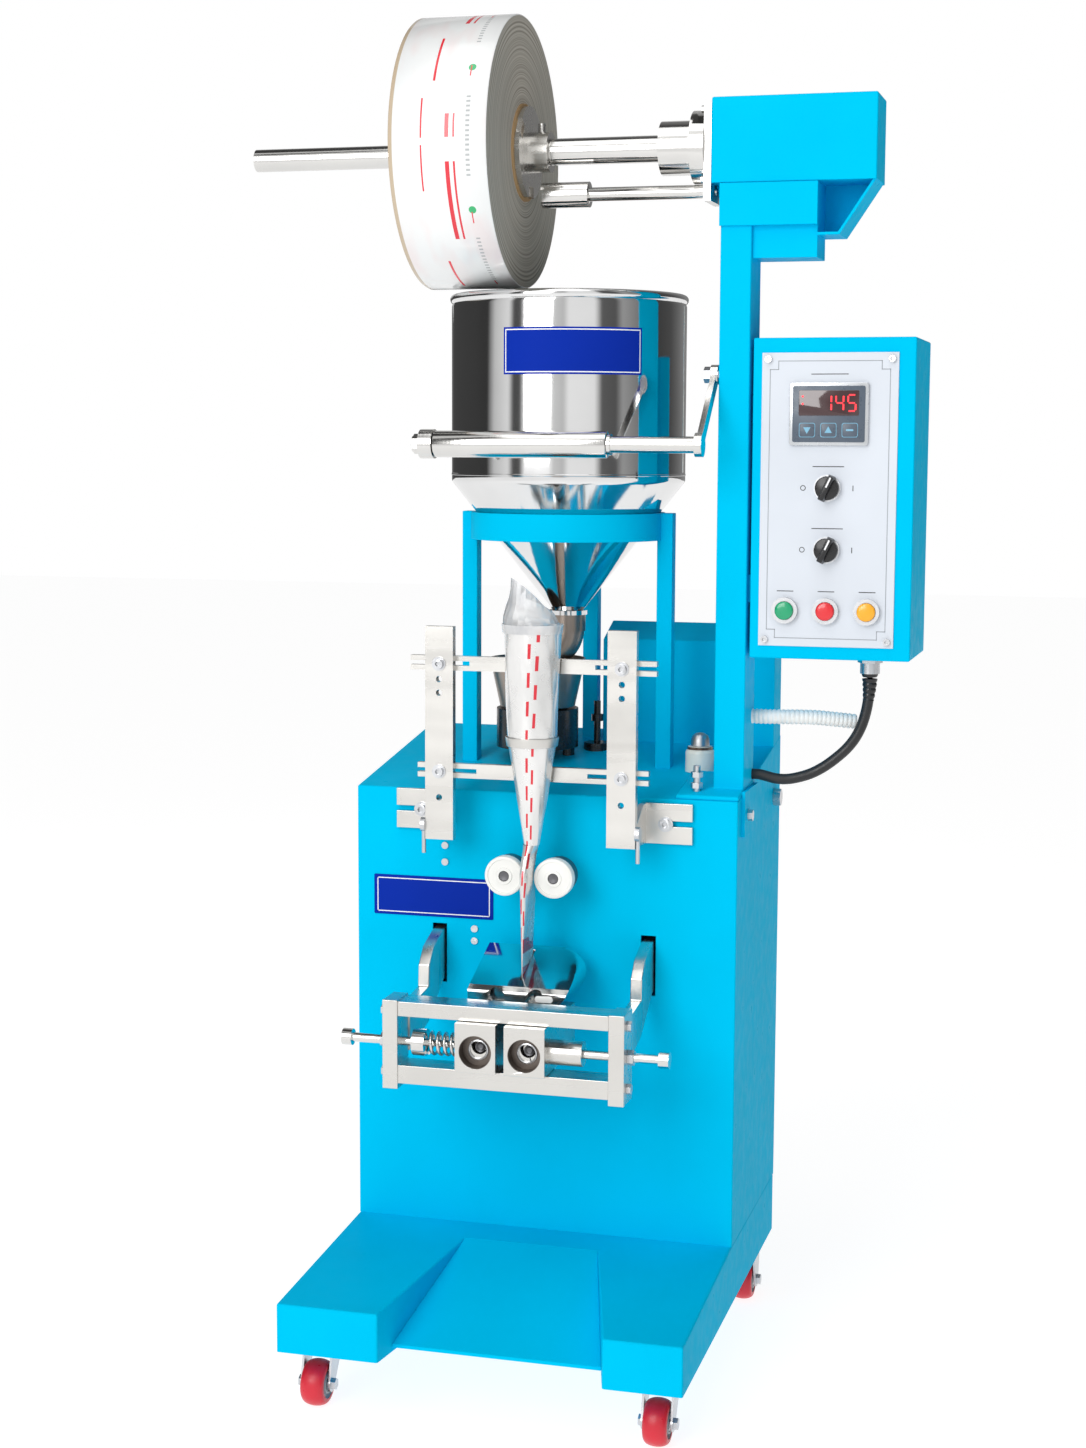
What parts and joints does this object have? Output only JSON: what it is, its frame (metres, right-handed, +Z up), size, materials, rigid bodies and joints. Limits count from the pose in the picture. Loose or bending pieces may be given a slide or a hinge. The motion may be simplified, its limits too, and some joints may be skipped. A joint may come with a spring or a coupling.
{
  "type": "vertical form fill sealer",
  "caption": "Upright sachet machine: film reel on a top shaft, hopper over a forming tube, pull rollers and heated jaws on a cabinet with splayed feet and casters.",
  "frame": {"origin": "on the floor under the middle of the overall plan box, cables left out", "axes": "+Z up, +X to the operator's right (control box side), +Y towards the back; the feet, jaws and panel face -Y"},
  "size_m": [0.759, 0.54, 1.503],
  "materials": {
    "cyan_paint": "gloss powder coat",
    "mirror_steel": "mirror-polished stainless",
    "satin_steel": "satin nickel and brushed stainless",
    "zinc": "bright zinc plate",
    "bright_shaft": "ground and polished",
    "red_tyre": "satin polyurethane",
    "clear_film": "glossy printed film",
    "cardboard": "wound cardboard",
    "white_nylon": "turned nylon",
    "panel_enamel": "satin light grey",
    "slate_plastic": "moulded",
    "black_plastic": "moulded",
    "green_plastic": "moulded",
    "red_plastic": "moulded",
    "amber_plastic": "moulded",
    "black_rubber": "cable sheath",
    "white_conduit": "corrugated plastic",
    "porcelain": "glazed",
    "dark_steel": "oiled dark steel",
    "brown_steel": "heat-stained steel"
  },
  "bodies": {
    "root": {"base_frame": "cyan_paint", "discharge_chute": "cyan_paint", "caster_mounts": "zinc", "cabinet_shell": "cyan_paint", "rear_panel": "cyan_paint", "rear_housing": "cyan_paint", "column": "cyan_paint", "head_bracket": "cyan_paint", "head_box": "cyan_paint", "bearing_housing": "bright_shaft", "tension_rod": "bright_shaft", "unwind_motor": "dark_steel", "hopper": "mirror_steel", "hopper_stand": "cyan_paint", "feed_elbow": "brown_steel", "feeder_base": "black_plastic", "former_tube": "satin_steel", "film_web": "clear_film", "former_frame": "satin_steel", "former_brackets": "satin_steel", "seal_unit": "mirror_steel", "jaw_arms": "bright_shaft", "jaw_frame": "satin_steel", "jaw_spring": "bright_shaft", "control_box": "cyan_paint", "control_panel": "panel_enamel", "temperature_controller": "slate_plastic", "panel_fittings": "zinc", "power_cable": "black_rubber", "conduit": "white_conduit", "fasteners": "satin_steel", "main_motor": "dark_steel", "terminal_post": "porcelain"},
    "reel": {"reel_shaft": "bright_shaft", "reel_hubs": "satin_steel", "roll_core": "cardboard", "film_roll": "clear_film"},
    "guide_arm": {"guide_arm": "bright_shaft"},
    "guide_roller": {"guide_roller": "bright_shaft"},
    "front_left_caster": {"front_left_fork": "zinc"},
    "front_right_caster": {"front_right_fork": "zinc"},
    "front_left_wheel": {"front_left_wheel": "red_tyre"},
    "front_right_wheel": {"front_right_wheel": "red_tyre"},
    "rear_left_wheel": {"rear_left_wheel": "red_tyre"},
    "rear_right_wheel": {"rear_right_wheel": "red_tyre"},
    "feeder_pan": {"feeder_pan": "brown_steel"},
    "left_feed": {"left_pull_roller": "white_nylon", "left_feed_shaft": "dark_steel"},
    "right_feed": {"right_pull_roller": "white_nylon", "right_feed_shaft": "dark_steel"},
    "left_jaw": {"left_jaw": "satin_steel"},
    "right_jaw": {"right_jaw": "satin_steel"},
    "left_jaw_screw": {"left_jaw_screw": "bright_shaft"},
    "right_jaw_screw": {"right_jaw_screw": "bright_shaft"},
    "start_button": {"start_button": "green_plastic"},
    "stop_button": {"stop_button": "red_plastic"},
    "heater_button": {"heater_button": "amber_plastic"},
    "vertical_seal_knob": {"vertical_seal_knob": "black_plastic"},
    "horizontal_seal_knob": {"horizontal_seal_knob": "black_plastic"},
    "camshaft": {"camshaft": "dark_steel"}
  },
  "joints": [
    {"name": "reel_spin", "type": "hinge", "parent": "root", "child": "reel", "pos_m": [-0.1165, 0.053, 1.355], "axis": [1, 0, 0], "continuous": true},
    {"name": "guide_arm_swing", "type": "hinge", "parent": "root", "child": "guide_arm", "pos_m": [0.1605, 0.036, 1.11], "axis": [1, 0, 0], "range_deg": [-35, 0]},
    {"name": "guide_roller_spin", "type": "hinge", "parent": "guide_arm", "child": "guide_roller", "pos_m": [-0.0365, -0.047, 1.034], "axis": [1, 0, 0], "continuous": true},
    {"name": "front_left_swivel", "type": "hinge", "parent": "root", "child": "front_left_caster", "pos_m": [-0.2125, -0.199, 0.07], "axis": [0, 0, 1], "continuous": true},
    {"name": "front_right_swivel", "type": "hinge", "parent": "root", "child": "front_right_caster", "pos_m": [0.1645, -0.199, 0.07], "axis": [0, 0, 1], "continuous": true},
    {"name": "front_left_wheel_spin", "type": "hinge", "parent": "front_left_caster", "child": "front_left_wheel", "pos_m": [-0.2125, -0.219, 0.025], "axis": [1, 0, 0], "continuous": true},
    {"name": "front_right_wheel_spin", "type": "hinge", "parent": "front_right_caster", "child": "front_right_wheel", "pos_m": [0.1645, -0.219, 0.025], "axis": [1, 0, 0], "continuous": true},
    {"name": "rear_left_wheel_spin", "type": "hinge", "parent": "root", "child": "rear_left_wheel", "pos_m": [-0.2125, 0.22, 0.025], "axis": [1, 0, 0], "continuous": true},
    {"name": "rear_right_wheel_spin", "type": "hinge", "parent": "root", "child": "rear_right_wheel", "pos_m": [0.1735, 0.22, 0.025], "axis": [1, 0, 0], "continuous": true},
    {"name": "feeder_shake", "type": "slide", "parent": "root", "child": "feeder_pan", "axis": [0, 1, 0], "range_m": [-0.0015, 0.0015], "stiffness_N_per_m": 8000},
    {"name": "left_feed_spin", "type": "hinge", "parent": "root", "child": "left_feed", "pos_m": [-0.0475, -0.049, 0.563], "axis": [0, 1, 0], "continuous": true},
    {"name": "right_feed_spin", "type": "hinge", "parent": "root", "child": "right_feed", "pos_m": [0.0085, -0.049, 0.563], "axis": [0, 1, 0], "continuous": true},
    {"name": "left_jaw_slide", "type": "slide", "parent": "root", "child": "left_jaw", "axis": [1, 0, 0], "range_m": [0, 0.004], "deforming": ["jaw_spring"]},
    {"name": "right_jaw_slide", "type": "slide", "parent": "root", "child": "right_jaw", "axis": [1, 0, 0], "range_m": [-0.004, 0]},
    {"name": "left_jaw_screw_turn", "type": "hinge", "parent": "root", "child": "left_jaw_screw", "pos_m": [-0.1695, -0.155, 0.393], "axis": [1, 0, 0], "continuous": true},
    {"name": "right_jaw_screw_turn", "type": "hinge", "parent": "root", "child": "right_jaw_screw", "pos_m": [0.1305, -0.155, 0.393], "axis": [1, 0, 0], "continuous": true},
    {"name": "start_press", "type": "slide", "parent": "root", "child": "start_button", "axis": [0, 1, 0], "range_m": [0, 0.004], "stiffness_N_per_m": 600},
    {"name": "stop_press", "type": "slide", "parent": "root", "child": "stop_button", "axis": [0, 1, 0], "range_m": [0, 0.004], "stiffness_N_per_m": 600},
    {"name": "heater_press", "type": "slide", "parent": "root", "child": "heater_button", "axis": [0, 1, 0], "range_m": [0, 0.004], "stiffness_N_per_m": 600},
    {"name": "vertical_seal_turn", "type": "hinge", "parent": "root", "child": "vertical_seal_knob", "pos_m": [0.288, 0.011, 0.9885], "axis": [0, 1, 0], "range_deg": [-50, 0]},
    {"name": "horizontal_seal_turn", "type": "hinge", "parent": "root", "child": "horizontal_seal_knob", "pos_m": [0.288, 0.011, 0.922], "axis": [0, 1, 0], "range_deg": [-50, 0]},
    {"name": "camshaft_spin", "type": "hinge", "parent": "root", "child": "camshaft", "pos_m": [0.0405, 0.171, 0.2605], "axis": [1, 0, 0], "continuous": true}
  ],
  "couplings": [
    {"joint": "right_feed_spin", "follows": "left_feed_spin", "ratio": -1},
    {"joint": "left_jaw_slide", "follows": "right_jaw_slide", "ratio": -1}
  ]
}
